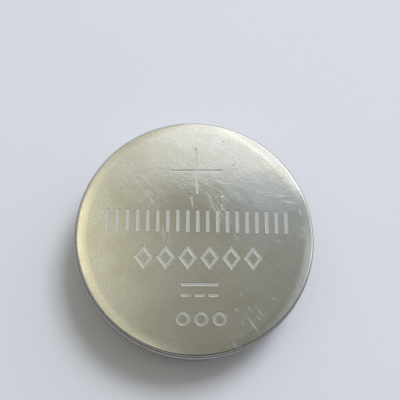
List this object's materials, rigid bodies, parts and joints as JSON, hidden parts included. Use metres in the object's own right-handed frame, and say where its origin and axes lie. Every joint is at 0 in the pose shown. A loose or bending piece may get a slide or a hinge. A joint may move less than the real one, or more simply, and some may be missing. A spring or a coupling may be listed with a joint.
{
  "type": "lithium coin cell",
  "caption": "Round lithium coin cell: a flat drawn steel can crimped over a plastic seal ring and a raised steel cap, with its cathode pellet, separator and lithium disc inside.",
  "frame": {"origin": "centre of the negative terminal's flat face, which the cell lies on", "axes": "+Z along the cell's axis, out of the positive face; +Y is up and +X is right of the marks on the positive face"},
  "size_m": [0.023, 0.023, 0.0054],
  "materials": {
    "can_steel": "satin nickel-plated drawn steel, finely scuffed",
    "gasket_plastic": "moulded natural polypropylene",
    "cap_steel": "satin nickel-plated pressed steel",
    "ring_steel": "plain pressed stainless steel",
    "pellet_oxide": "pressed black powder",
    "separator_felt": "white nonwoven felt",
    "lithium_metal": "dull soft metal"
  },
  "bodies": {
    "root": {"positive_can": "can_steel", "sealing_gasket": "gasket_plastic", "negative_cap": "cap_steel", "collector_ring": "ring_steel", "cathode_pellet": "pellet_oxide", "separator": "separator_felt", "lithium_anode": "lithium_metal"}
  },
  "joints": []
}
